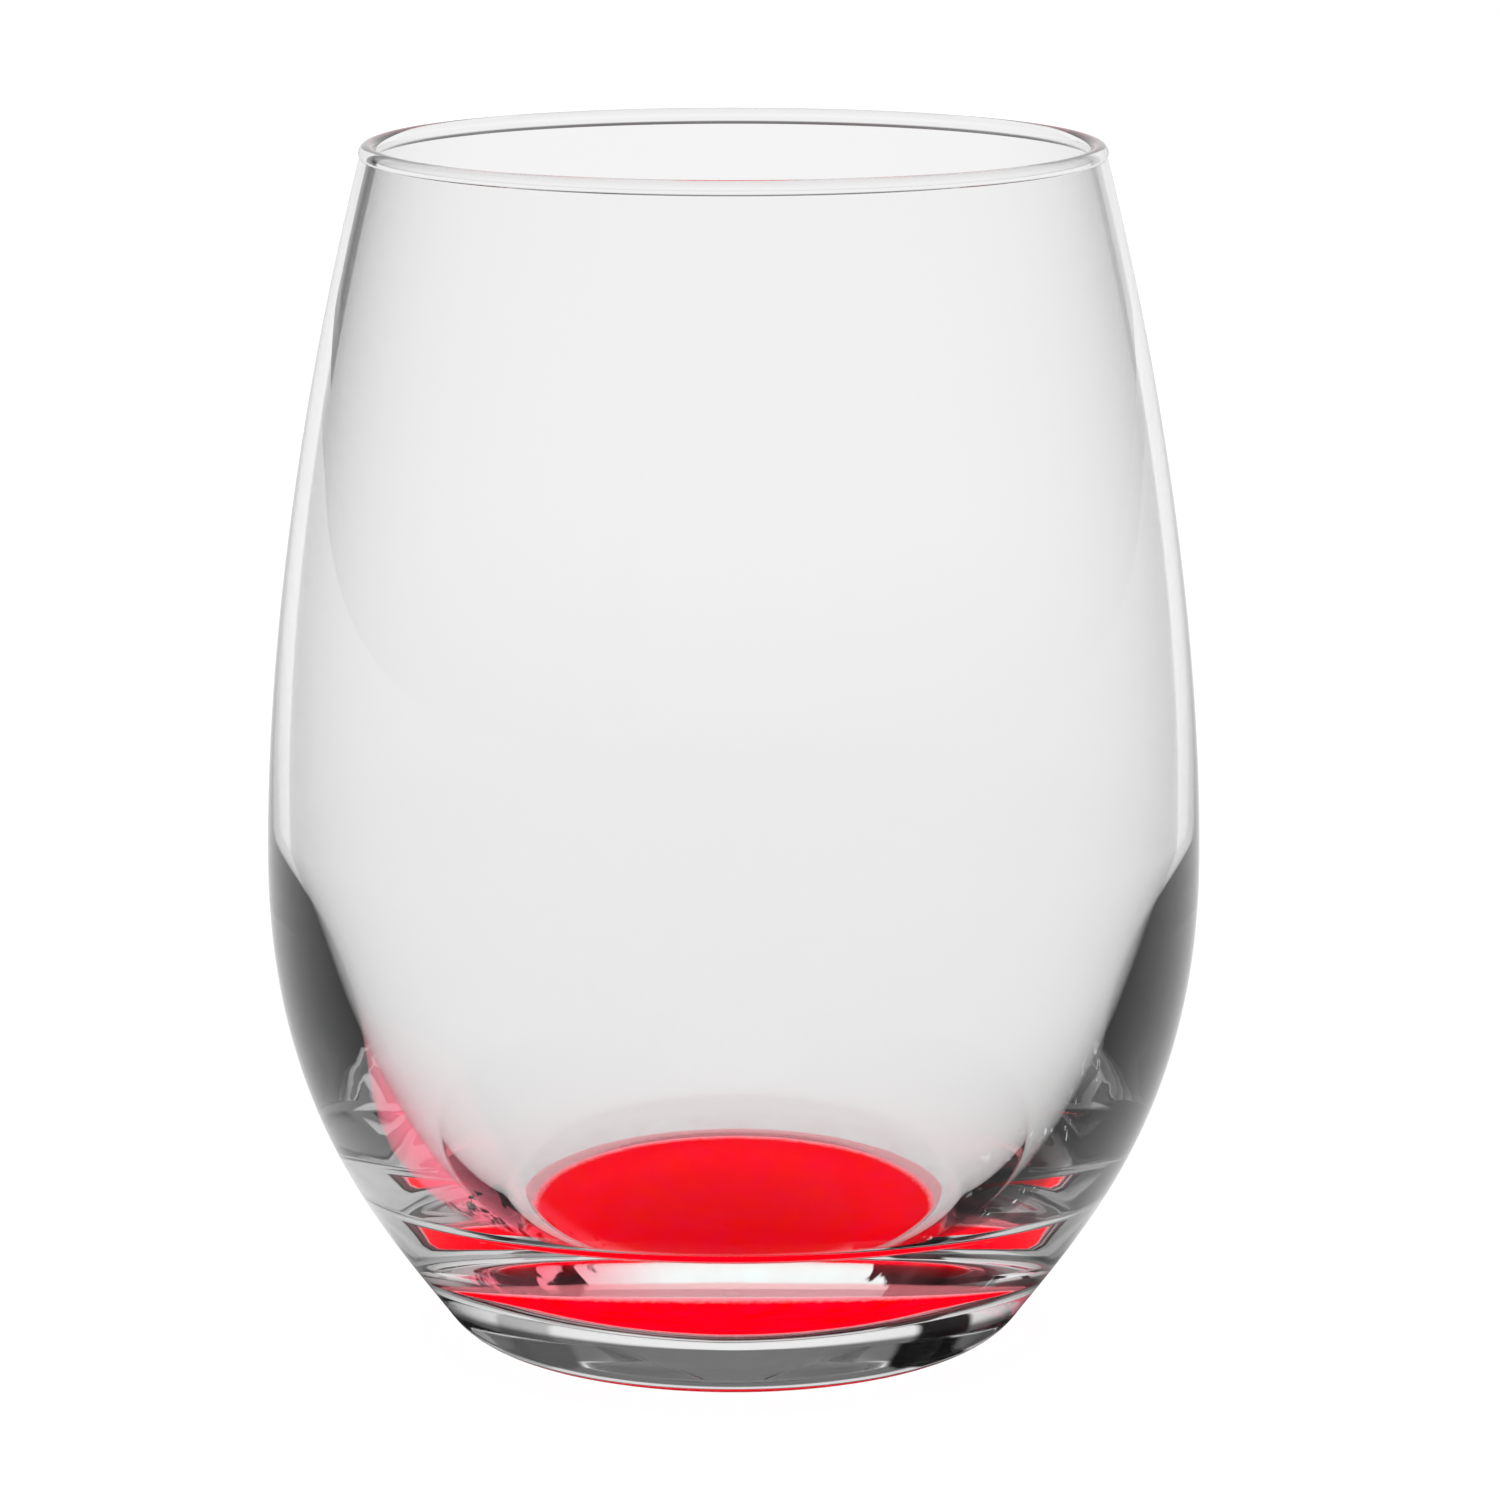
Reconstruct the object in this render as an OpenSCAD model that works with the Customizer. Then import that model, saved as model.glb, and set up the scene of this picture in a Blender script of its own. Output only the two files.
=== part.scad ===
// Stemless wine glass: one clear glass body with a red colour coat in the punt of its foot.
// The origin is the middle of the standing ring, on the table, with +Z up.

/* [Outside of the glass] */
// Overall height, from the table to the top of the rim
glass_h = 114; // [96:0.5:132]
// Largest diameter, round the belly
belly_d = 88.6; // [80:0.1:98]
// Height of the belly's widest ring above the table
belly_h = 45.8; // [38:0.1:54]
// Diameter over the bead of the rim
rim_d = 69.9; // [60:0.1:78]
// Inward lean of the wall under the rim, in degrees from upright
rim_lean = 14.3; // [8:0.1:20]
// Diameter of the foot, over the flat standing ring
foot_d = 45.7; // [38:0.1:52]
// Radius of the round heel between the standing ring and the wall
heel_r = 6.1; // [4:0.1:8]
// Slope of the wall where it leaves the heel, in degrees from level
heel_slope = 54; // [46:0.5:62]

/* [Rim] */
// Wall thickness just under the bead
rim_wall = 1.3; // [1:0.05:2.2]
// How far the fire-polished bead stands proud of each side of the wall
bead_step = 0.2; // [0.05:0.05:0.5]

/* [Inside of the glass] */
// Wall thickness at the belly
belly_wall = 1.9; // [1.2:0.05:3.5]
// Height of the hollow's widest ring above the table
hollow_h = 49.5; // [40:0.1:56]
// Diameter of the knee, the bend between the hollow's floor and its wall
knee_d = 61.2; // [56:0.1:66]
// Height of the knee above the table
knee_h = 16.7; // [14:0.1:20]
// Slope of the floor just inside the knee, in degrees from level
knee_slope = 35.5; // [25:0.1:45]
// Slope of the wall just above the knee, in degrees from level
wall_slope = 51.3; // [46:0.1:65]
// Diameter of the shallow dish in the middle of the floor
dish_d = 42.6; // [36:0.1:48]
// How far the dish rises from its middle to its edge
dish_h = 1.8; // [0.5:0.1:3]
// How the dish steepens outward: 1 would be a cone, 2 a parabola
dish_bow = 1.5; // [1.3:0.1:3]
// Height of the hollow's lowest point above the table
floor_h = 8.7; // [6:0.1:11]

/* [Foot] */
// Width of the flat ring that the glass stands on
ring_w = 0.9; // [0.8:0.1:3]
// Depth of the shallow punt inside the standing ring
punt_h = 0.5; // [0.4:0.05:1.5]

/* [Colour coat] */
// How far the coat stops short of the standing ring
coat_gap = 0.1; // [0.05:0.05:3]
// Thickness of the coat at its middle, drawn thicker than a real film
coat_t = 0.15; // [0.05:0.01:0.3]

/* [Curves] */
// Handle of the lower wall at the heel, as a share of its climb
heel_handle_share = 0.23; // [0.1:0.01:0.4]
// Handle of the lower wall at the belly, as a share of its climb
low_belly_handle_share = 0.55; // [0.4:0.01:0.65]
// Handle of the upper wall at the belly, as a share of its climb
high_belly_handle_share = 0.16; // [0.1:0.01:0.4]
// Handle of the upper wall at the rim, as a share of its climb
rim_handle_share = 0.5; // [0.3:0.01:0.6]
// Handle of the floor at the edge of its dish, as a share of the way to the knee
dish_handle_share = 0.12; // [0.05:0.01:0.4]
// Handle of the floor at the knee, as a share of the way to the dish
knee_handle_share = 0.64; // [0.3:0.01:0.8]
// Handle of the hollow's wall at the knee, as a share of the way to its widest ring
wall_handle_share = 0.36; // [0.1:0.01:0.5]
// Handle of the hollow's wall at its widest ring, as a share of its climb
hollow_handle_share = 0.24; // [0.1:0.01:0.6]

/* [Colours] */
// Clear glass
glass_colour = "#E6EEEE";
// Red coat
coat_colour = "#FF0028";
// How solid the clear glass looks
glass_alpha = 0.35; // [0.1:0.05:1]

/* [Hidden] */
// Facets of a turned surface, and steps along one stretch of the outline
$fn = 180;
arc_steps = 10;
curve_steps = 30;

// Radii and heights that the outlines share
belly_r = belly_d / 2;
foot_r = foot_d / 2;
ring_r = foot_r - ring_w;
coat_r = ring_r - coat_gap;
dish_r = dish_d / 2;
heel_centre = [foot_r, heel_r];
heel_top = heel_centre + heel_r * heading(heel_slope - 90);

// The punt is a shallow dome that ends at the standing ring
dome_r = (ring_r * ring_r + punt_h * punt_h) / (2 * punt_h);
dome_centre = [0, punt_h - dome_r];

// The bead is a round roll on the wall's own centre line
bead_r = rim_wall / 2 + bead_step;
bead_centre = [rim_d / 2 - bead_r, glass_h - bead_r];
neck_angle = asin(rim_wall / 2 / bead_r);
outer_neck_angle = rim_lean - 90 + neck_angle;
inner_neck_angle = rim_lean - 90 - neck_angle;
outer_neck = bead_centre + bead_r * heading(outer_neck_angle);
inner_neck = bead_centre + bead_r * heading(inner_neck_angle);

// Places along the hollow: its widest ring, the knee, and the edge of the dish with its slope
hollow_belly = [belly_r - belly_wall, hollow_h];
knee = [knee_d / 2, knee_h];
dish_edge = [dish_r, floor_h + dish_h];
dish_slope = atan(dish_bow * dish_h / dish_r);

// Unit step in a direction given in degrees from outward, turning upward
function heading(angle) = [cos(angle), sin(angle)];

// Points along an arc
function arc(centre, r, from, to, steps = arc_steps) =
    [for (i = [0 : steps]) centre + r * heading(from + (to - from) * i / steps)];

// Point at share t of a cubic curve with ends a and d and handles b and c
function cubic(a, b, c, d, t) =
    pow(1 - t, 3) * a + 3 * pow(1 - t, 2) * t * b + 3 * (1 - t) * t * t * c + t * t * t * d;

// Points along a cubic curve, without its first one
function curve(a, b, c, d) = [for (i = [1 : curve_steps]) cubic(a, b, c, d, i / curve_steps)];

// Wall from an upright start at the widest ring to the leaning neck under the bead
function upper_wall(widest, neck) =
    let (climb = neck[1] - widest[1])
    curve(widest,
          widest + high_belly_handle_share * climb * heading(90),
          neck - rim_handle_share * climb * heading(90 + rim_lean),
          neck);

// Wall from the heel to the widest ring
function lower_wall() =
    let (widest = [belly_r, belly_h], climb = widest[1] - heel_top[1])
    curve(heel_top,
          heel_top + heel_handle_share * climb * heading(heel_slope),
          widest - low_belly_handle_share * climb * heading(90),
          widest);

// Dished floor of the hollow, from its lowest point to the knee
function hollow_floor() =
    let (reach = norm(knee - dish_edge))
    concat([for (i = [0 : arc_steps])
                [dish_r * i / arc_steps, floor_h + dish_h * pow(i / arc_steps, dish_bow)]],
           curve(dish_edge,
                 dish_edge + dish_handle_share * reach * heading(dish_slope),
                 knee - knee_handle_share * reach * heading(knee_slope),
                 knee));

// Wall of the hollow, from the knee to the widest ring
function hollow_wall() =
    curve(knee,
          knee + wall_handle_share * norm(hollow_belly - knee) * heading(wall_slope),
          hollow_belly - hollow_handle_share * (hollow_belly[1] - knee[1]) * heading(90),
          hollow_belly);

// Dome of the punt from its middle out to a radius
function punt_face(to_r) = arc(dome_centre, dome_r, 90, acos(to_r / dome_r));

// Lower face of the coat, which thins out to nothing at its edge
function coat_underside() =
    [for (p = punt_face(coat_r)) [p[0], p[1] - coat_t * (1 - pow(p[0] / coat_r, 2))]];

// The same points, last one first
function reversed(points) = [for (i = [len(points) - 1 : -1 : 0]) points[i]];

// All points but the first
function tail(points) = [for (i = [1 : len(points) - 1]) points[i]];

// One-piece glass: thick foot, swelling wall, beaded rim and open hollow
module glass_bowl() {
    outline = concat(
        punt_face(coat_r),
        [[ring_r, 0]],
        arc(heel_centre, heel_r, -90, heel_slope - 90),
        lower_wall(),
        upper_wall([belly_r, belly_h], outer_neck),
        tail(arc(bead_centre, bead_r, outer_neck_angle, inner_neck_angle + 360, 2 * arc_steps)),
        tail(reversed(upper_wall(hollow_belly, inner_neck))),
        reversed(hollow_wall()),
        reversed(hollow_floor())
    );
    color(glass_colour, glass_alpha)
        rotate_extrude()
            polygon(outline);
}

// Colour coat: a thin film over the punt, inside the standing ring
module red_base_coat() {
    color(coat_colour)
        rotate_extrude()
            polygon(concat(punt_face(coat_r), tail(reversed(coat_underside()))));
}

glass_bowl();
red_base_coat();
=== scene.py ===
"""A stemless wine glass: clear pressed glass with a red colour coat in the punt of its foot."""

import math

import bmesh
import bpy
from bpy.props import FloatProperty, FloatVectorProperty, PointerProperty
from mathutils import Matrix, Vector
from mathutils.geometry import interpolate_bezier


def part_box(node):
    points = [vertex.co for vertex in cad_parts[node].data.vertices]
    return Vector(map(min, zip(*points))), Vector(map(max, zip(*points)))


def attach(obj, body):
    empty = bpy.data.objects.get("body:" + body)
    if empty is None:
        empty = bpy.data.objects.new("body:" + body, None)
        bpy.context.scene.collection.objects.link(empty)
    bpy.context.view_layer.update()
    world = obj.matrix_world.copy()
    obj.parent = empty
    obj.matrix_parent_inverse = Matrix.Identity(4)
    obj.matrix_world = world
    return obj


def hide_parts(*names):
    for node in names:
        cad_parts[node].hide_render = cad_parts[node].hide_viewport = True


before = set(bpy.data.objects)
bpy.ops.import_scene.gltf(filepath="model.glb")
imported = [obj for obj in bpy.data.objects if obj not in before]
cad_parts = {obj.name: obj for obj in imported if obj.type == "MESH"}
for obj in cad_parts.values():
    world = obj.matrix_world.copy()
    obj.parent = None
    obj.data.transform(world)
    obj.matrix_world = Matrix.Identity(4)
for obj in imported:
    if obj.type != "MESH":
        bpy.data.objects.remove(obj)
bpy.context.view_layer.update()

bl_info = {
    "name": "Stemless wine glass",
    "version": (1, 0, 0),
    "blender": (4, 5, 0),
    "location": "3D View > Sidebar > Glass",
    "description": "Makes a clear stemless wine glass with a red coat under its foot",
    "category": "Add Mesh",
}

MM = 0.001
BODY = "root"
GLASS_NODE = "glass_bowl"
COAT_NODE = "red_base_coat"

GLASS_LOW, GLASS_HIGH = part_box(GLASS_NODE)
COAT_LOW, COAT_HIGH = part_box(COAT_NODE)

# How finely the outline is drawn, and how many steps one full turn has
ARC_STEPS = 10
BEAD_STEPS = 28
WALL_STEPS = 40
FLOOR_STEPS = 24
TURN_STEPS = 240
# The angle of straight up, measured from outward
UPRIGHT = math.pi / 2
# Two faces that meet more sharply than this keep a crisp edge
CREASE = math.radians(25)
# Points closer than this are one, as those on the axis are after the turn
MERGE = 0.001 * MM


def linear(hex_colour):
    """sRGB hex as linear red, green and blue."""
    parts = [int(hex_colour[i:i + 2], 16) / 255 for i in (1, 3, 5)]
    return [p / 12.92 if p <= 0.04045 else ((p + 0.055) / 1.055) ** 2.4 for p in parts]


def opaque(hex_colour):
    """sRGB hex as linear red, green, blue and a full alpha."""
    return (*linear(hex_colour), 1.0)


def length(name, description, size):
    """A length in metres that a user may change."""
    return FloatProperty(name=name, description=description, default=size, unit="LENGTH",
                         precision=5)


def turn(name, description, degrees):
    """An angle that a user may change."""
    return FloatProperty(name=name, description=description, default=math.radians(degrees),
                         unit="ROTATION")


def share(name, description, value):
    """A share of some other size, or of full cover."""
    return FloatProperty(name=name, description=description, default=value, subtype="FACTOR",
                         min=0, max=1)


class GlassSizes(bpy.types.PropertyGroup):
    """Sizes of the glass body."""
    height: length("Height", "From the table to the top of the rim", GLASS_HIGH.z)
    belly_d: length("Belly", "Largest diameter", GLASS_HIGH.x - GLASS_LOW.x)
    belly_h: length("Belly height", "Height of the widest ring above the table", 45.8 * MM)
    rim_d: length("Rim", "Diameter over the bead of the rim", 69.9 * MM)
    rim_lean: turn("Rim lean", "Inward lean of the wall under the rim", 14.3)
    foot_d: length("Foot", "Diameter over the flat standing ring", 45.7 * MM)
    heel_r: length("Heel", "Radius of the round heel", 6.1 * MM)
    heel_slope: turn("Heel slope", "Slope of the wall where it leaves the heel", 54)
    ring_w: length("Ring", "Width of the flat standing ring", 0.9 * MM)
    punt_h: length("Punt", "Depth of the shallow punt", 0.5 * MM)
    rim_wall: length("Rim wall", "Wall thickness under the bead", 1.3 * MM)
    bead_step: length("Bead", "How far the bead stands proud of each side", 0.2 * MM)
    belly_wall: length("Belly wall", "Wall thickness at the belly", 1.9 * MM)
    hollow_h: length("Hollow height", "Height of the hollow's widest ring", 49.5 * MM)
    floor_h: length("Floor", "Height of the hollow's lowest point", 8.7 * MM)
    dish_d: length("Dish", "Diameter of the shallow dish of the floor", 42.6 * MM)
    dish_h: length("Dish depth", "How far the dish rises from its middle", 1.8 * MM)
    dish_bow: FloatProperty(name="Dish bow", description="1 would be a cone, 2 a parabola",
                            default=1.5)
    knee_d: length("Knee", "Diameter of the knee between floor and wall", 61.2 * MM)
    knee_h: length("Knee height", "Height of the knee above the table", 16.7 * MM)
    knee_slope: turn("Knee slope", "Slope of the floor below the knee", 35.5)
    wall_slope: turn("Wall slope", "Slope of the wall above the knee", 51.3)
    heel_handle: share("Heel handle", "Curve handle of the wall at the heel", 0.23)
    low_belly_handle: share("Low belly handle", "Curve handle of the lower wall at the belly", 0.55)
    high_belly_handle: share("High belly handle", "Curve handle of the upper wall at the belly",
                             0.16)
    rim_handle: share("Rim handle", "Curve handle of the upper wall at the rim", 0.5)
    dish_handle: share("Dish handle", "Curve handle of the floor at the dish", 0.12)
    under_knee_handle: share("Under knee handle", "Curve handle of the floor below the knee", 0.64)
    over_knee_handle: share("Over knee handle", "Curve handle of the wall above the knee", 0.36)
    hollow_handle: share("Hollow handle", "Curve handle of the wall at the hollow's widest ring",
                         0.24)


class CoatSizes(bpy.types.PropertyGroup):
    """Sizes and colours of the red coat."""
    diameter: length("Diameter", "Diameter of the coat", COAT_HIGH.x - COAT_LOW.x)
    thickness: length("Thickness", "Thickness of the coat", 0.15 * MM)
    bond: length("Bond", "How far the paint keys into the glass, so that no air shows between",
                 0.02 * MM)
    feather: length("Feather", "Width of the soft sprayed edge, where the paint thins", 1.0 * MM)
    ring_mist: share("Ring mist", "How much of the standing ring the overspray covers", 0.3)
    mist: share("Mist", "How much of the glass the stray mist round the coat covers", 0.03)
    mist_h: length("Mist height", "How far the stray mist reaches up the heel", 1.6 * MM)
    red: FloatVectorProperty(name="Red", description="Colour of the paint", subtype="COLOR",
                             default=linear("#FF0028"))
    # Where the paint thins it is paler, and this paler red also serves as a painted glow at the
    # coat's edge
    thin_red_and_glow: FloatVectorProperty(name="Thin red", description="Colour of the paint where it thins",
                                  subtype="COLOR", default=linear("#FFB4C0"))


class StageSizes(bpy.types.PropertyGroup):
    """Camera place and studio surroundings."""
    distance: length("Distance", "Camera distance from the glass's axis", 569.9 * MM)
    camera_h: length("Camera height", "Camera height above the table", 170.27 * MM)
    pitch: turn("Pitch", "How far the camera looks down", 11.32)
    aim: turn("Aim", "How far the camera turns off the glass's axis", 0.155)
    floor: length("Floor", "Width of the paper on the light table", 3.2)


def at(radius, height):
    """A point of the outline, which is drawn in the XZ plane."""
    return Vector((radius, 0, height))


def heading(angle):
    """Unit step in the XZ plane, angle measured from outward and turning upward."""
    return at(math.cos(angle), math.sin(angle))


def arc(centre, radius, start, end, steps=ARC_STEPS):
    """Points along an arc, both ends included."""
    return [centre + radius * heading(start + (end - start) * i / steps) for i in range(steps + 1)]


def cubic(a, b, c, d, steps=WALL_STEPS):
    """Points along a cubic curve without its first one."""
    return [Vector(p) for p in interpolate_bezier(a, b, c, d, steps + 1)][1:]


def punt_face(size):
    """Dome under the foot: its centre, its radius, and how far out it meets the standing ring."""
    ring_r = size.foot_d / 2 - size.ring_w
    dome_r = (ring_r ** 2 + size.punt_h ** 2) / (2 * size.punt_h)
    return at(0, size.punt_h - dome_r), dome_r, ring_r


def lower_wall(size, heel_top):
    """Outer wall from the heel to the widest ring."""
    widest = at(size.belly_d / 2, size.belly_h)
    climb = widest.z - heel_top.z
    return cubic(heel_top,
                 heel_top + size.heel_handle * climb * heading(size.heel_slope),
                 widest - size.low_belly_handle * climb * heading(UPRIGHT),
                 widest)


def upper_wall(size, widest, neck):
    """Wall from its widest ring to the leaning neck under the bead."""
    climb = neck.z - widest.z
    return cubic(widest,
                 widest + size.high_belly_handle * climb * heading(UPRIGHT),
                 neck - size.rim_handle * climb * heading(UPRIGHT + size.rim_lean),
                 neck)


def hollow_bottom(size, widest):
    """Inside of the glass, from its lowest point, over the knee, to its widest ring."""
    dish_r = size.dish_d / 2
    dish = [at(dish_r * i / FLOOR_STEPS,
               size.floor_h + size.dish_h * (i / FLOOR_STEPS) ** size.dish_bow)
            for i in range(FLOOR_STEPS + 1)]
    knee = at(size.knee_d / 2, size.knee_h)
    dish_slope = math.atan2(size.dish_bow * size.dish_h, dish_r)
    reach = (knee - dish[-1]).length
    rise = cubic(dish[-1],
                 dish[-1] + size.dish_handle * reach * heading(dish_slope),
                 knee - size.under_knee_handle * reach * heading(size.knee_slope),
                 knee)
    wall = cubic(knee,
                 knee + size.over_knee_handle * (widest - knee).length * heading(size.wall_slope),
                 widest - size.hollow_handle * (widest.z - knee.z) * heading(UPRIGHT),
                 widest)
    return dish + rise + wall


def glass_outline(size):
    """Outline of the glass, from the middle of the punt round the outside to the middle inside."""
    foot_r = size.foot_d / 2
    dome_centre, dome_r, ring_r = punt_face(size)
    heel_centre = at(foot_r, size.heel_r)
    bead_r = size.rim_wall / 2 + size.bead_step
    bead_centre = at(size.rim_d / 2 - bead_r, size.height - bead_r)
    neck = math.asin(size.rim_wall / 2 / bead_r)
    outer_neck = size.rim_lean - UPRIGHT + neck
    inner_neck = size.rim_lean - UPRIGHT - neck
    hollow_widest = at(size.belly_d / 2 - size.belly_wall, size.hollow_h)

    punt = arc(dome_centre, dome_r, UPRIGHT, math.acos(ring_r / dome_r))
    heel = arc(heel_centre, size.heel_r, -UPRIGHT, size.heel_slope - UPRIGHT)
    belly = lower_wall(size, heel[-1])
    wall = upper_wall(size, belly[-1], bead_centre + bead_r * heading(outer_neck))
    bead = arc(bead_centre, bead_r, outer_neck, inner_neck + 2 * math.pi, BEAD_STEPS)[1:]
    inner_wall = [hollow_widest] + upper_wall(size, hollow_widest, bead[-1])
    inside = hollow_bottom(size, hollow_widest)
    return punt + heel + belly + wall + bead + inner_wall[-2::-1] + inside[-2::-1]


def coat_outline(size, coat):
    """Outline of the coat in the punt, with a skin of mist that laps over the ring and up the heel.

    Both key a little way into the glass, so that no air shows between.
    """
    dome_centre, dome_r, _ = punt_face(size)
    edge_r = coat.diameter / 2
    punt = arc(dome_centre, dome_r, UPRIGHT, math.acos(edge_r / dome_r), 2 * ARC_STEPS)
    heel_centre = at(size.foot_d / 2, size.heel_r)
    lap = math.acos(1 - coat.mist_h / size.heel_r) - UPRIGHT
    top = [at(p.x, p.z + coat.bond) for p in punt]
    top += arc(heel_centre, size.heel_r - coat.bond, -UPRIGHT, lap)
    low = [at(p.x, p.z - coat.thickness * (1 - (p.x / edge_r) ** 2)) for p in punt[:-1]]
    low += [at(edge_r, punt[-1].z + coat.bond / 2)]
    low += arc(heel_centre, size.heel_r - coat.bond / 2, -UPRIGHT, lap)
    return top + low[::-1]


def turned_piece(name, points, material):
    """A closed body turned from its outline, on the CAD's axis."""
    bm = bmesh.new()
    corners = [bm.verts.new(p) for p in points]
    for start, end in zip(corners[:-1], corners[1:]):
        bm.edges.new((start, end))
    bmesh.ops.spin(bm, geom=bm.verts[:] + bm.edges[:], cent=(0, 0, 0), axis=(0, 0, 1),
                   dvec=(0, 0, 0), angle=2 * math.pi, steps=TURN_STEPS, use_merge=True)
    bmesh.ops.remove_doubles(bm, verts=bm.verts[:], dist=MERGE)
    bmesh.ops.recalc_face_normals(bm, faces=bm.faces[:])
    for face in bm.faces:
        face.smooth = True
    for edge in bm.edges:
        if len(edge.link_faces) == 2 and edge.calc_face_angle() > CREASE:
            edge.smooth = False
    mesh = bpy.data.meshes.new(name)
    bm.to_mesh(mesh)
    bm.free()
    mesh.materials.append(material)
    piece = bpy.data.objects.new(name, mesh)
    bpy.context.scene.collection.objects.link(piece)
    return piece


# For a Map Range node that steps softly from one value to the other
SOFT = {"interpolation_type": "SMOOTHSTEP"}
# The Mix node's inputs for two colours and the output for their mix, and its inputs for two values
FIRST_COLOUR, SECOND_COLOUR, MIXED_COLOUR = 6, 7, 2
FIRST_VALUE, SECOND_VALUE = 2, 3


def add_node(tree, kind, settings=None, links=None):
    """Adds a node.

    Settings are its own properties or unlinked inputs. Links are its linked inputs, each with the
    socket that feeds it, or with a node whose first output does.
    """
    node = tree.nodes.new(kind)
    for key, value in (settings or {}).items():
        if isinstance(key, str) and hasattr(node, key) and key not in node.inputs:
            setattr(node, key, value)
        else:
            node.inputs[key].default_value = value
    for key, source in (links or {}).items():
        socket = source.outputs[0] if isinstance(source, bpy.types.Node) else source
        tree.links.new(socket, node.inputs[key])
    return node


def new_material(name):
    """An empty node material and its tree."""
    material = bpy.data.materials.new(name)
    material.use_nodes = True
    material.node_tree.nodes.clear()
    return material, material.node_tree


# Pressed and blown soda-lime glass, fire polished. The polish leaves the wall clear and bright,
# while the foot, chilled against the mould, keeps a faint ripple that bends what is seen through
# its flanks. The ripple fades out up the wall.
RIPPLE_WIDTH = 9 * MM
RIPPLE_DEPTH = 0.01 * MM
RIPPLE_TOP = 34 * MM
RIPPLE_FADE = 12 * MM


def clear_glass():
    """Fire-polished glass, faintly rippled in the foot and faintly tinted in its depth."""
    material, tree = new_material("soda_lime_glass_fire_polished")
    place = add_node(tree, "ShaderNodeTexCoord")
    parts = add_node(tree, "ShaderNodeSeparateXYZ", links={0: place.outputs["Object"]})
    ripple = add_node(tree, "ShaderNodeTexNoise",
                      {"Scale": 1 / RIPPLE_WIDTH, "Detail": 1.5, "Roughness": 0.4,
                       "Distortion": 0.6},
                      {"Vector": place.outputs["Object"]})
    chilled = add_node(tree, "ShaderNodeMapRange",
                       {"From Min": RIPPLE_TOP - RIPPLE_FADE, "From Max": RIPPLE_TOP,
                        "To Min": 1.0, "To Max": 0.0},
                       {"Value": parts.outputs["Z"]})
    height = add_node(tree, "ShaderNodeMath", {"operation": "MULTIPLY"},
                      {0: ripple.outputs["Fac"], 1: chilled})
    bump = add_node(tree, "ShaderNodeBump", {"Strength": 1.0, "Distance": RIPPLE_DEPTH},
                    {"Height": height})
    # The dark tint keeps the glass's own reflections faint where it is seen square on
    shader = add_node(tree, "ShaderNodeBsdfPrincipled",
                      {"Base Color": opaque("#FCFCFC"), "Roughness": 0.0, "IOR": 1.52,
                       "Specular Tint": opaque("#6C6C6C"), "Transmission Weight": 1.0},
                      {"Normal": bump})
    depth = add_node(tree, "ShaderNodeVolumeAbsorption",
                     {"Color": opaque("#E4E8E6"), "Density": 0.6})
    add_node(tree, "ShaderNodeOutputMaterial", links={"Surface": shader, "Volume": depth})
    return material


# Solvent enamel sprayed into the punt and baked. It is a strong pure red with a faint cloudiness
# from the spray. Its edge is soft and speckled, and a thin patchy mist of it lies on the standing
# ring and the start of the heel.
CLOUD_WIDTH = 4 * MM
PATCH_WIDTH = 5 * MM
SPECKLE_WIDTH = 0.6 * MM
SPECKLE_REACH = 0.8 * MM
# Noise values between which the clouds, and the patches of mist, go from none to full
CLOUD_LOW, CLOUD_HIGH = 0.35, 0.65
PATCH_LOW, PATCH_HIGH = 0.3, 0.7
# How far the paint pales at its very edge, partly from thinning and partly as a painted glow
EDGE_PALENESS = 0.7
# A patch's densest spot has this many times the mist's mean cover
MIST_PEAK = 2
# The standing ring wears a pale rim of overspray up to this height
RING_PAINT_TOP = 0.06 * MM


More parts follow.
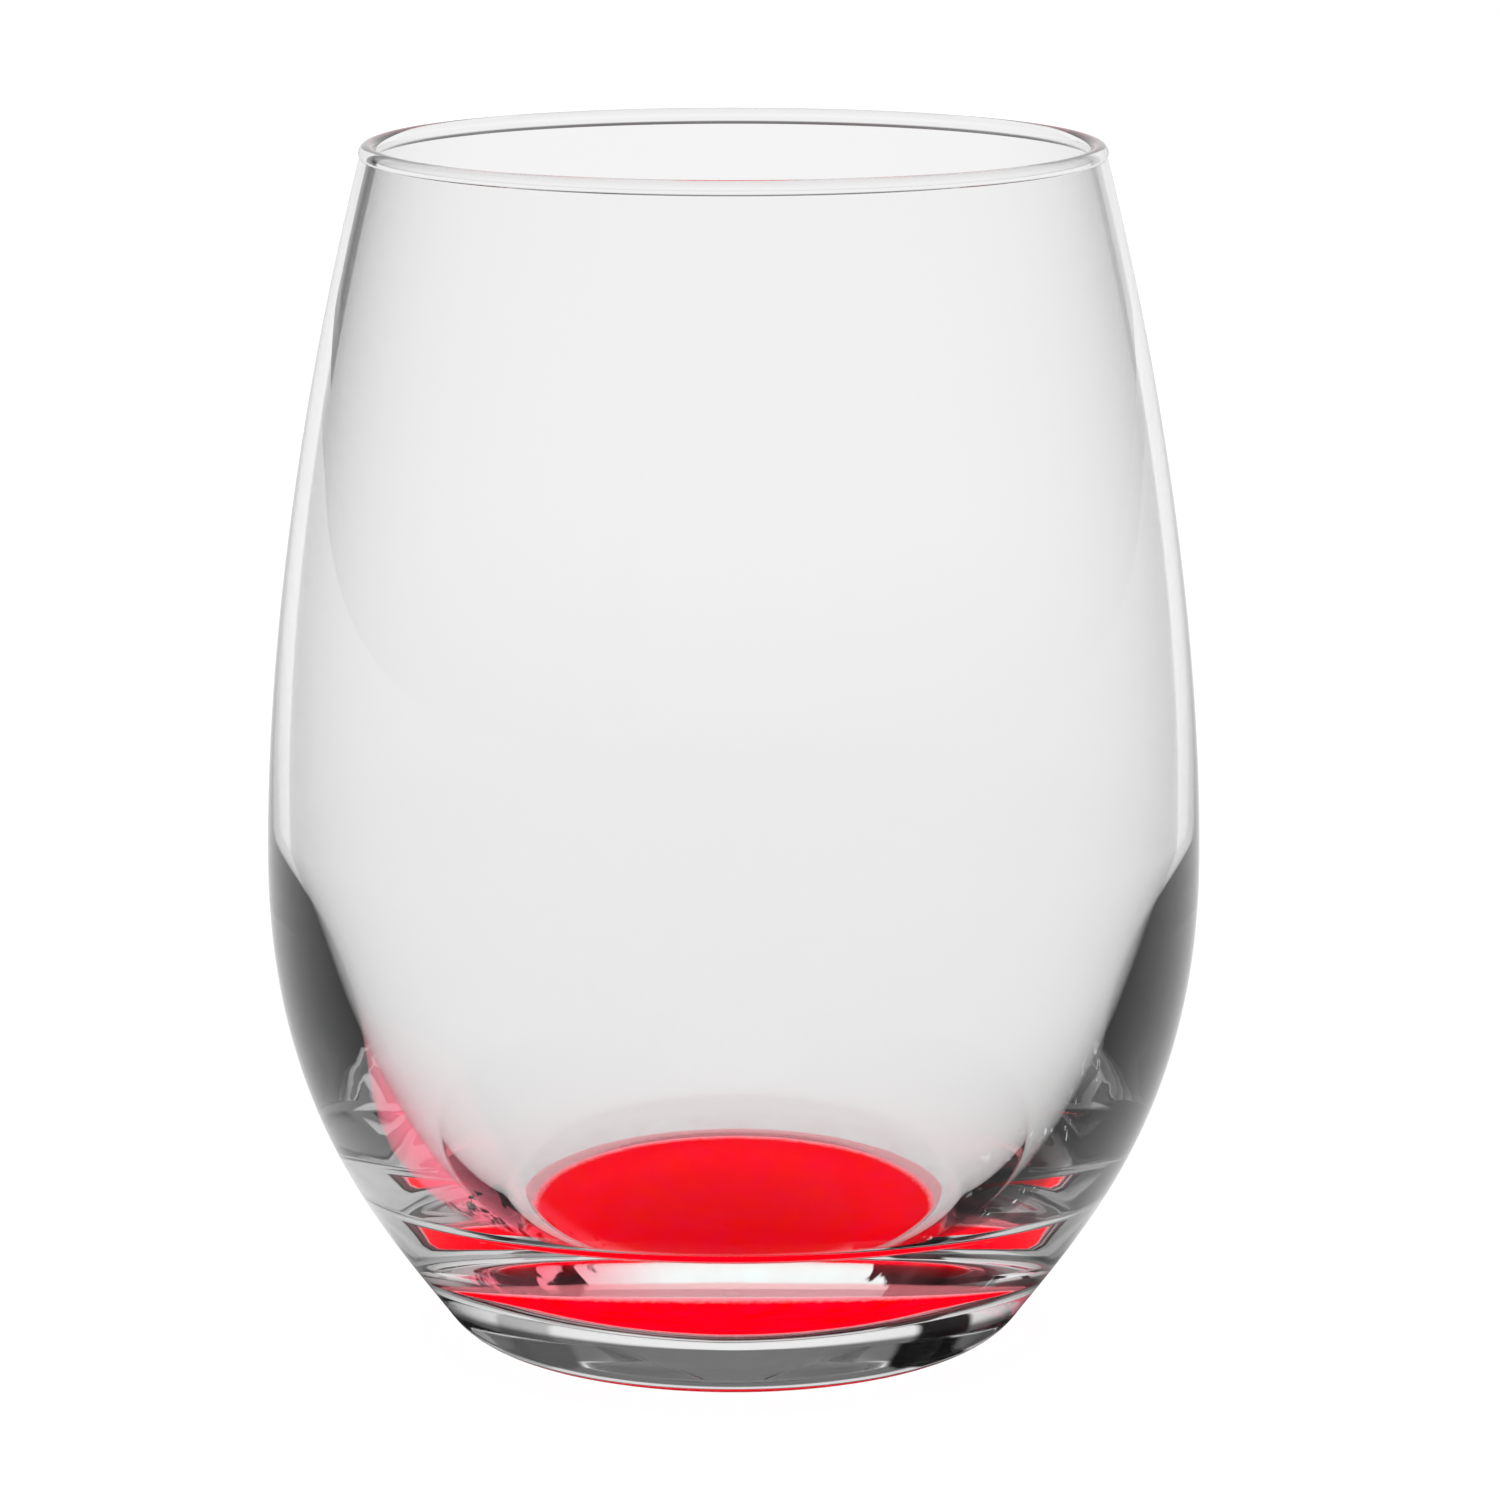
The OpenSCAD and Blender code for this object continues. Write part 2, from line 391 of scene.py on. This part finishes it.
def red_enamel(coat):
    """Sprayed and baked red enamel, solid in the punt and a see-through mist outside it."""
    material, tree = new_material("sprayed_red_enamel_baked")
    place = add_node(tree, "ShaderNodeTexCoord")
    clouds = add_node(tree, "ShaderNodeTexNoise",
                      {"Scale": 1 / CLOUD_WIDTH, "Detail": 4.0, "Roughness": 0.6},
                      {"Vector": place.outputs["Object"]})
    tint = add_node(tree, "ShaderNodeMapRange", {"From Min": CLOUD_LOW, "From Max": CLOUD_HIGH},
                    {"Value": clouds.outputs["Fac"]})
    colour = add_node(tree, "ShaderNodeMix",
                      {"data_type": "RGBA", FIRST_COLOUR: (*coat.red, 1.0),
                       SECOND_COLOUR: opaque("#FF0004")},
                      {0: tint})
    parts = add_node(tree, "ShaderNodeSeparateXYZ", links={0: place.outputs["Object"]})
    flat = add_node(tree, "ShaderNodeCombineXYZ",
                    links={0: parts.outputs["X"], 1: parts.outputs["Y"]})
    radius = add_node(tree, "ShaderNodeVectorMath", {"operation": "LENGTH"}, {0: flat})

    # The paint thins to a paler red at a ragged edge, and this paler red is partly a painted glow
    # that brightens the edge where it would lie in shade
    speckle = add_node(tree, "ShaderNodeTexNoise", {"Scale": 1 / SPECKLE_WIDTH, "Detail": 2.0},
                       {"Vector": place.outputs["Object"]})
    ragged = add_node(tree, "ShaderNodeMath",
                      {"operation": "MULTIPLY_ADD", 1: SPECKLE_REACH, 2: -SPECKLE_REACH / 2},
                      {0: speckle.outputs["Fac"]})
    edge = add_node(tree, "ShaderNodeMath", {"operation": "ADD"},
                    {0: radius.outputs["Value"], 1: ragged})
    thinned_and_glowing = add_node(tree, "ShaderNodeMapRange",
                       SOFT | {"From Min": coat.diameter / 2 - coat.feather,
                               "From Max": coat.diameter / 2, "To Max": EDGE_PALENESS},
                       {"Value": edge})
    paint = add_node(tree, "ShaderNodeMix",
                     {"data_type": "RGBA", SECOND_COLOUR: (*coat.thin_red_and_glow, 1.0)},
                     {0: thinned_and_glowing, FIRST_COLOUR: colour.outputs[MIXED_COLOUR]})

    # Outside the coat the skin is patchy mist, thicker on the ring and fading up the heel
    patches = add_node(tree, "ShaderNodeTexNoise",
                       {"Scale": 1 / PATCH_WIDTH, "Detail": 3.0, "Roughness": 0.6},
                       {"Vector": place.outputs["Object"]})
    mist = add_node(tree, "ShaderNodeMapRange",
                    {"From Min": PATCH_LOW, "From Max": PATCH_HIGH,
                     "To Max": MIST_PEAK * coat.mist},
                    {"Value": patches.outputs["Fac"]})
    mist_top = add_node(tree, "ShaderNodeMapRange",
                        {"From Min": RING_PAINT_TOP, "From Max": coat.mist_h,
                         "To Min": 1.0, "To Max": 0.0},
                        {"Value": parts.outputs["Z"]})
    mist_cover = add_node(tree, "ShaderNodeMath", {"operation": "MULTIPLY"}, {0: mist, 1: mist_top})
    cover = add_node(tree, "ShaderNodeMapRange",
                     {"From Min": RING_PAINT_TOP / 2, "From Max": RING_PAINT_TOP,
                      "To Min": coat.ring_mist},
                     {"Value": parts.outputs["Z"], "To Max": mist_cover})
    in_punt = add_node(tree, "ShaderNodeMath", {"operation": "LESS_THAN", 1: coat.diameter / 2},
                       {0: radius.outputs["Value"]})
    full = add_node(tree, "ShaderNodeMath", {"operation": "MAXIMUM"}, {0: in_punt, 1: cover})
    shader = add_node(tree, "ShaderNodeBsdfPrincipled",
                      {"Roughness": 0.3, "IOR": 1.5, "Specular IOR Level": 0.0},
                      {"Base Color": paint.outputs[MIXED_COLOUR], "Alpha": full})
    add_node(tree, "ShaderNodeOutputMaterial", links={"Surface": shader})
    return material


# How bright the studio is: on matt things, round the glass, and overhead
MATT_LIGHT = 1.4
PANEL_LIGHT = 0.9
CEILING_LIGHT = 0.18
PANEL_TOP = math.radians(12)
CEILING_FROM = math.radians(24)
# A light path counts its turns in whole numbers, and is tested halfway between two of them
ONE_OR_MORE = 0.5
THREE_OR_MORE = 2.5
# Light that ran back and forth inside the glass has made many turns, and after very many turns
# none of it is left
FEW_TURNS = 5
MANY_TURNS = 8
LAST_TURNS = 13
NO_TURNS = 16
# Such light comes from the dim room beyond the panel. It has a window on the right and a weak glow
# far on the left. Where these start and end, as the cards and mirrored things below do, is how far
# a direction points to the side: 1 is straight to the right, -1 straight to the left.
DARK_SIDE = 0.05
LIT_SIDE = 0.5
WINDOW_START = -0.1
WINDOW_END = 0.4
LEFT_GLOW = 0.22
LEFT_GLOW_START = -0.68
LEFT_GLOW_END = -0.85
# A narrow card stands upright on either side of the panel. The left one hides nearly all of the
# panel's light, and the right one less than half.
LEFT_CARD = 0.98
RIGHT_CARD = 0.4
CARD_START = 0.42
CARD_END = 0.56
CARD_EDGE = 0.03
# What the outside of the wall mirrors: the white ground behind it, and the room's dark left and
# paler right
MIRROR_LIGHT = 0.95
MIRROR_LEFT = 0.06
MIRROR_RIGHT = 0.6
MIRROR_START = 0.52
MIRROR_END = 0.66

# The camera sees a little more light from the paper, which then shows as plain white
CAMERA_FILL = 0.2
# How much of the paper's light comes through it from the table
TABLE_SHARE = 0.5
# The dark smears, painted on the paper as a card's reflection, are where the noise and its bias
# pass this step. The bias keeps them off the middle and lets many through on the right. What is
# added to it in a strip on the left lets a few through there.
SMEAR_WIDTH = 5 * MM
SMEAR_FROM = 0.46
SMEAR_TO = 0.52
DARK_START = 10 * MM
DARK_END = 17 * MM
MIDDLE_BIAS = -0.5
RIGHT_BIAS = 0.15
LEFT_EXTRA = 0.47
STRIP_FADE = -34 * MM
STRIP_END = -37.4 * MM
# Where the coat's pink glow, painted on the paper, starts and reaches full strength on the left
PINK_START = -5 * MM
PINK_END = -22 * MM
# How far from the axis the paper has the painted glow and painted reflection by the foot, and over
# what span it goes from a painted shade near the glass to its plain far tone
GLOW_START = 50 * MM
GLOW_END = 70 * MM
NEAR_PAPER = 100 * MM
FAR_PAPER = 500 * MM
# The paper in front of the foot, and what a wall mirrors from close by, is in the glass's own shade
FRONT_END = -28 * MM
FRONT_START = -25.5 * MM
SHADE_START = 15 * MM
SHADE_END = 40 * MM


def mirrored_in_hollow(tree, path):
    """1 for light that crossed the wall and was mirrored on the way, as off the hollow's floor."""
    walls = add_node(tree, "ShaderNodeMath", {"operation": "GREATER_THAN", 1: THREE_OR_MORE},
                     {0: path.outputs["Transmission Depth"]})
    turned = add_node(tree, "ShaderNodeMath", {"operation": "GREATER_THAN", 1: ONE_OR_MORE},
                      {0: path.outputs["Glossy Depth"]})
    return add_node(tree, "ShaderNodeMath", {"operation": "MULTIPLY"}, {0: walls, 1: turned})


# Matt white paper on a light table. The camera sees it as plain white, and so does light that went
# straight through the glass. Light that the thick foot turned back sees colours painted on the
# paper
# close round it: the coat's pink glow, painted on the left, and on the right dark smears painted as
# a card's reflection.
def paper_with_painted_glow_and_reflection():
    """White paper, with a painted glow and painted reflection round the foot that only light turned
    back in the glass sees.
    """
    material, tree = new_material("paper_on_light_table_with_painted_glow_and_reflection")
    path = add_node(tree, "ShaderNodeLightPath")
    place = add_node(tree, "ShaderNodeTexCoord")
    parts = add_node(tree, "ShaderNodeSeparateXYZ", links={0: place.outputs["Object"]})
    x, y = parts.outputs["X"], parts.outputs["Y"]
    reach = add_node(tree, "ShaderNodeVectorMath", {"operation": "LENGTH"},
                     {0: place.outputs["Object"]}).outputs["Value"]

    # Painted smears, standing for a card's reflection, fill the right side, and a few lie on the
    # left
    painted_reflection_smears = add_node(tree, "ShaderNodeTexNoise",
                      {"Scale": 1 / SMEAR_WIDTH, "Detail": 3.0, "Roughness": 0.6,
                       "Distortion": 1.2},
                      {"Vector": place.outputs["Object"]})
    right = add_node(tree, "ShaderNodeMapRange",
                     SOFT | {"From Min": DARK_START, "From Max": DARK_END,
                             "To Min": MIDDLE_BIAS, "To Max": RIGHT_BIAS},
                     {"Value": x})
    left_of_middle = add_node(tree, "ShaderNodeMapRange",
                              SOFT | {"From Min": -DARK_START, "From Max": -DARK_END},
                              {"Value": x})
    in_strip = add_node(tree, "ShaderNodeMapRange",
                        SOFT | {"From Min": STRIP_END, "From Max": STRIP_FADE}, {"Value": x})
    strip = add_node(tree, "ShaderNodeMath", {"operation": "MULTIPLY"},
                     {0: left_of_middle, 1: in_strip})
    left = add_node(tree, "ShaderNodeMath", {"operation": "MULTIPLY", 1: LEFT_EXTRA}, {0: strip})
    biased = add_node(tree, "ShaderNodeMath", {"operation": "ADD"},
                      {0: painted_reflection_smears.outputs["Fac"], 1: right})
    thick = add_node(tree, "ShaderNodeMath", {"operation": "ADD"}, {0: biased, 1: left})
    dark = add_node(tree, "ShaderNodeMapRange",
                    SOFT | {"From Min": SMEAR_FROM, "From Max": SMEAR_TO}, {"Value": thick})
    # The paper in front of the foot is painted dark, as the glass's painted shade
    front = add_node(tree, "ShaderNodeMapRange",
                     SOFT | {"From Min": FRONT_START, "From Max": FRONT_END}, {"Value": y})
    shaded = add_node(tree, "ShaderNodeMath", {"operation": "MAXIMUM"}, {0: dark, 1: front})
    pink_side = add_node(tree, "ShaderNodeMapRange",
                         SOFT | {"From Min": PINK_START, "From Max": PINK_END}, {"Value": x})
    # The coat's pink glow, painted on the paper on the left side of the foot
    pink = add_node(tree, "ShaderNodeMix",
                    {"data_type": "RGBA", FIRST_COLOUR: opaque("#E4F0EE"),
                     SECOND_COLOUR: opaque("#E87086")},
                    {0: pink_side})
    # The painted pink glow, with the painted dark smears and painted shade over it
    painted_glow_reflection_and_shade = add_node(tree, "ShaderNodeMix",
                          {"data_type": "RGBA", SECOND_COLOUR: opaque("#0C0C0C")},
                          {0: shaded, FIRST_COLOUR: pink.outputs[MIXED_COLOUR]})

    # Only light that was turned back inside the glass comes by way of the foot
    bent = add_node(tree, "ShaderNodeMath", {"operation": "GREATER_THAN", 1: ONE_OR_MORE},
                    {0: path.outputs["Transmission Depth"]})
    turned = add_node(tree, "ShaderNodeMath", {"operation": "GREATER_THAN", 1: ONE_OR_MORE},
                      {0: path.outputs["Glossy Depth"]})
    turned_back = add_node(tree, "ShaderNodeMath", {"operation": "MULTIPLY"}, {0: bent, 1: turned})
    near = add_node(tree, "ShaderNodeMapRange",
                    SOFT | {"From Min": GLOW_END, "From Max": GLOW_START}, {"Value": reach})
    by_foot = add_node(tree, "ShaderNodeMath", {"operation": "MULTIPLY"}, {0: turned_back, 1: near})
    # Near the glass the paper is painted a little darker than far off, as painted shade
    far = add_node(tree, "ShaderNodeMapRange",
                   SOFT | {"From Min": NEAR_PAPER, "From Max": FAR_PAPER}, {"Value": reach})
    paper_tone_with_painted_shade = add_node(tree, "ShaderNodeMix",
                     {"data_type": "RGBA", FIRST_COLOUR: opaque("#D1D1D1"),
                      SECOND_COLOUR: opaque("#D8D8D8")},
                     {0: far})
    shown = add_node(tree, "ShaderNodeMix", {"data_type": "RGBA"},
                     {0: by_foot, FIRST_COLOUR: paper_tone_with_painted_shade.outputs[MIXED_COLOUR],
                      SECOND_COLOUR: painted_glow_reflection_and_shade.outputs[MIXED_COLOUR]})

    # Light from deep inside is dim, and what a wall mirrors in the hollow or close by is darker yet
    deep = add_node(tree, "ShaderNodeMapRange",
                    SOFT | {"From Min": FEW_TURNS, "From Max": MANY_TURNS},
                    {"Value": path.outputs["Ray Depth"]})
    dim = add_node(tree, "ShaderNodeMix", {"data_type": "RGBA", SECOND_COLOUR: opaque("#505050")},
                   {0: deep, FIRST_COLOUR: shown.outputs[MIXED_COLOUR]})
    close = add_node(tree, "ShaderNodeMapRange",
                     SOFT | {"From Min": SHADE_END, "From Max": SHADE_START},
                     {"Value": path.outputs["Ray Length"]})
    shade = add_node(tree, "ShaderNodeMath", {"operation": "MULTIPLY"},
                     {0: path.outputs["Is Reflection Ray"], 1: close})
    gone = add_node(tree, "ShaderNodeMath", {"operation": "MAXIMUM"},
                    {0: mirrored_in_hollow(tree, path), 1: shade})
    colour = add_node(tree, "ShaderNodeMix",
                      {"data_type": "RGBA", SECOND_COLOUR: opaque("#202020")},
                      {0: gone, FIRST_COLOUR: dim.outputs[MIXED_COLOUR]}).outputs[MIXED_COLOUR]

    paper = add_node(tree, "ShaderNodeBsdfDiffuse", links={"Color": colour})
    table = add_node(tree, "ShaderNodeEmission", {"Strength": MATT_LIGHT}, {"Color": colour})
    lit = add_node(tree, "ShaderNodeMixShader", {0: TABLE_SHARE}, {1: paper, 2: table})
    fill = add_node(tree, "ShaderNodeMath", {"operation": "MULTIPLY", 1: CAMERA_FILL},
                    {0: path.outputs["Is Camera Ray"]})
    glow = add_node(tree, "ShaderNodeEmission", {"Color": opaque("#FFFFFF")}, {"Strength": fill})
    both = add_node(tree, "ShaderNodeAddShader", links={0: lit, 1: glow})
    add_node(tree, "ShaderNodeOutputMaterial", links={"Surface": both})
    return material


def studio_world():
    """White to the camera, even light on matt things, and a panel and a room for the glass."""
    world = bpy.data.worlds.new("studio")
    world.use_nodes = True
    tree = world.node_tree
    tree.nodes.clear()
    path = add_node(tree, "ShaderNodeLightPath")
    place = add_node(tree, "ShaderNodeTexCoord")
    parts = add_node(tree, "ShaderNodeSeparateXYZ", links={0: place.outputs["Generated"]})
    x, z = parts.outputs["X"], parts.outputs["Z"]
    depth = path.outputs["Ray Depth"]

    # A bright panel stands round the glass, below a dim ceiling, with a card on either side
    panel = add_node(tree, "ShaderNodeMapRange",
                     SOFT | {"From Min": math.sin(PANEL_TOP), "From Max": math.sin(CEILING_FROM),
                             "To Min": PANEL_LIGHT, "To Max": CEILING_LIGHT},
                     {"Value": z})
    aside = add_node(tree, "ShaderNodeMath", {"operation": "ABSOLUTE"}, {0: x})
    card_from = add_node(tree, "ShaderNodeMapRange",
                         SOFT | {"From Min": CARD_START - CARD_EDGE, "From Max": CARD_START},
                         {"Value": aside})
    card_to = add_node(tree, "ShaderNodeMapRange",
                       SOFT | {"From Min": CARD_END + CARD_EDGE, "From Max": CARD_END},
                       {"Value": aside})
    card = add_node(tree, "ShaderNodeMath", {"operation": "MULTIPLY"}, {0: card_from, 1: card_to})
    density = add_node(tree, "ShaderNodeMapRange",
                       SOFT | {"From Min": -CARD_START, "From Max": CARD_START,
                               "To Min": LEFT_CARD, "To Max": RIGHT_CARD},
                       {"Value": x})
    hidden = add_node(tree, "ShaderNodeMath", {"operation": "MULTIPLY"}, {0: card, 1: density})
    open_share = add_node(tree, "ShaderNodeMath", {"operation": "SUBTRACT", 0: 1.0}, {1: hidden})
    around = add_node(tree, "ShaderNodeMath", {"operation": "MULTIPLY"}, {0: panel, 1: open_share})

    # The dim room, for light from deep inside the glass
    window = add_node(tree, "ShaderNodeMapRange",
                      SOFT | {"From Min": WINDOW_START, "From Max": WINDOW_END,
                              "To Min": DARK_SIDE, "To Max": LIT_SIDE},
                      {"Value": x})
    far_left = add_node(tree, "ShaderNodeMapRange",
                        SOFT | {"From Min": LEFT_GLOW_START, "From Max": LEFT_GLOW_END,
                                "To Max": LEFT_GLOW},
                        {"Value": x})
    both_sides = add_node(tree, "ShaderNodeMath", {"operation": "ADD"}, {0: window, 1: far_left})
    light_left = add_node(tree, "ShaderNodeMapRange",
                          SOFT | {"From Min": LAST_TURNS, "From Max": NO_TURNS,
                                  "To Min": 1.0, "To Max": 0.0},
                          {"Value": depth})
    room = add_node(tree, "ShaderNodeMath", {"operation": "MULTIPLY"},
                    {0: both_sides, 1: light_left})
    deep = add_node(tree, "ShaderNodeMapRange",
                    SOFT | {"From Min": FEW_TURNS, "From Max": MANY_TURNS}, {"Value": depth})
    bent = add_node(tree, "ShaderNodeMix", links={0: deep, FIRST_VALUE: around, SECOND_VALUE: room})
    inside = add_node(tree, "ShaderNodeMix", {SECOND_VALUE: 0.0},
                      {0: mirrored_in_hollow(tree, path), FIRST_VALUE: bent})

    # What the outside of the wall mirrors
    on_left = add_node(tree, "ShaderNodeMapRange",
                       SOFT | {"From Min": -MIRROR_END, "From Max": -MIRROR_START,
                               "To Min": MIRROR_LEFT / MIRROR_LIGHT},
                       {"Value": x})
    on_right = add_node(tree, "ShaderNodeMapRange",
                        SOFT | {"From Min": MIRROR_START, "From Max": MIRROR_END,
                                "To Min": MIRROR_LIGHT, "To Max": MIRROR_RIGHT},
                        {"Value": x})
    mirrored = add_node(tree, "ShaderNodeMath", {"operation": "MULTIPLY"},
                        {0: on_left, 1: on_right})
    surround = add_node(tree, "ShaderNodeMix",
                        links={0: path.outputs["Is Reflection Ray"], FIRST_VALUE: inside,
                               SECOND_VALUE: mirrored})

    # The camera sees plain white, and matt things are lit evenly
    seen = add_node(tree, "ShaderNodeMix", {SECOND_VALUE: 1.0},
                    {0: path.outputs["Is Camera Ray"], FIRST_VALUE: surround})
    matt = add_node(tree, "ShaderNodeMath", {"operation": "GREATER_THAN", 1: ONE_OR_MORE},
                    {0: path.outputs["Diffuse Depth"]})
    strength = add_node(tree, "ShaderNodeMix", {SECOND_VALUE: MATT_LIGHT},
                        {0: matt, FIRST_VALUE: seen})
    glow = add_node(tree, "ShaderNodeBackground", {"Color": opaque("#FFFFFF")},
                    {"Strength": strength})
    add_node(tree, "ShaderNodeOutputWorld", links={"Surface": glow})
    return world


class STEMWARE_OT_glass_bowl(bpy.types.Operator):
    """Turn the clear glass body and give it its material"""
    bl_idname = "stemware.glass_bowl"
    bl_label = "Glass bowl"

    def execute(self, context):
        sizes = context.scene.glass_sizes
        piece = turned_piece("glass_body", glass_outline(sizes), clear_glass())
        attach(piece, BODY)
        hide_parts(GLASS_NODE)
        return {"FINISHED"}


class STEMWARE_OT_red_base_coat(bpy.types.Operator):
    """Turn the red coat in the punt and give it its material"""
    bl_idname = "stemware.red_base_coat"
    bl_label = "Red base coat"

    def execute(self, context):
        sizes, coat = context.scene.glass_sizes, context.scene.coat_sizes
        piece = turned_piece("red_coat", coat_outline(sizes, coat), red_enamel(coat))
        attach(piece, BODY)
        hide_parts(COAT_NODE)
        return {"FINISHED"}


# Light is followed through this many turns, because it runs far round inside the thick foot
LIGHT_TURNS = 32
# The photograph's frame and focal length in pixels, and the camera's film width in its own unit, mm
FRAME_PIXELS = 1500
FOCAL_PIXELS = 6114.6
FILM_WIDTH = 36
NEAR_CLIP = 10 * MM


class STEMWARE_OT_studio(bpy.types.Operator):
    """Lay the white floor and set the surroundings and the camera"""
    bl_idname = "stemware.studio"
    bl_label = "Studio"

    def execute(self, context):
        scene = context.scene
        stage = scene.stage_sizes
        bm = bmesh.new()
        bmesh.ops.create_grid(bm, x_segments=1, y_segments=1, size=stage.floor / 2)
        mesh = bpy.data.meshes.new("floor")
        bm.to_mesh(mesh)
        bm.free()
        mesh.materials.append(paper_with_painted_glow_and_reflection())
        floor = bpy.data.objects.new("floor", mesh)
        scene.collection.objects.link(floor)
        scene.world = studio_world()
        scene.view_settings.view_transform = "Standard"
        scene.cycles.max_bounces = LIGHT_TURNS
        scene.cycles.transmission_bounces = LIGHT_TURNS
        scene.cycles.glossy_bounces = LIGHT_TURNS
        # Each turn may cross both faces of the paint's thin mist
        scene.cycles.transparent_max_bounces = 2 * LIGHT_TURNS
        # Light that has left the paint passes through the glass as sharply as any other
        scene.cycles.blur_glossy = 0

        lens = bpy.data.cameras.new("camera")
        lens.sensor_width = FILM_WIDTH
        lens.lens = FOCAL_PIXELS / FRAME_PIXELS * FILM_WIDTH
        lens.clip_start = NEAR_CLIP
        camera = bpy.data.objects.new("camera", lens)
        camera.location = (0, -stage.distance, stage.camera_h)
        camera.rotation_euler = (UPRIGHT - stage.pitch, 0, -stage.aim)
        scene.collection.objects.link(camera)
        scene.camera = camera
        return {"FINISHED"}


OPERATORS = (STEMWARE_OT_glass_bowl, STEMWARE_OT_red_base_coat, STEMWARE_OT_studio)


class STEMWARE_PT_glass(bpy.types.Panel):
    """Lists what the add-on makes"""
    bl_idname = "STEMWARE_PT_glass"
    bl_label = "Stemless wine glass"
    bl_space_type = "VIEW_3D"
    bl_region_type = "UI"
    bl_category = "Glass"

    def draw(self, context):
        for operator in OPERATORS:
            self.layout.operator(operator.bl_idname)


GROUPS = {"glass_sizes": GlassSizes, "coat_sizes": CoatSizes, "stage_sizes": StageSizes}
CLASSES = (*GROUPS.values(), *OPERATORS, STEMWARE_PT_glass)


def register():
    """Add the classes, and their sizes to the scene."""
    for cls in CLASSES:
        bpy.utils.register_class(cls)
    for name, group in GROUPS.items():
        setattr(bpy.types.Scene, name, PointerProperty(type=group))


def unregister():
    """Take the sizes and the classes away again."""
    for name in GROUPS:
        delattr(bpy.types.Scene, name)
    for cls in reversed(CLASSES):
        bpy.utils.unregister_class(cls)


def main():
    """Make the glass and its stage."""
    register()
    bpy.ops.stemware.glass_bowl()
    bpy.ops.stemware.red_base_coat()
    bpy.ops.stemware.studio()


if __name__ == "__main__":
    main()
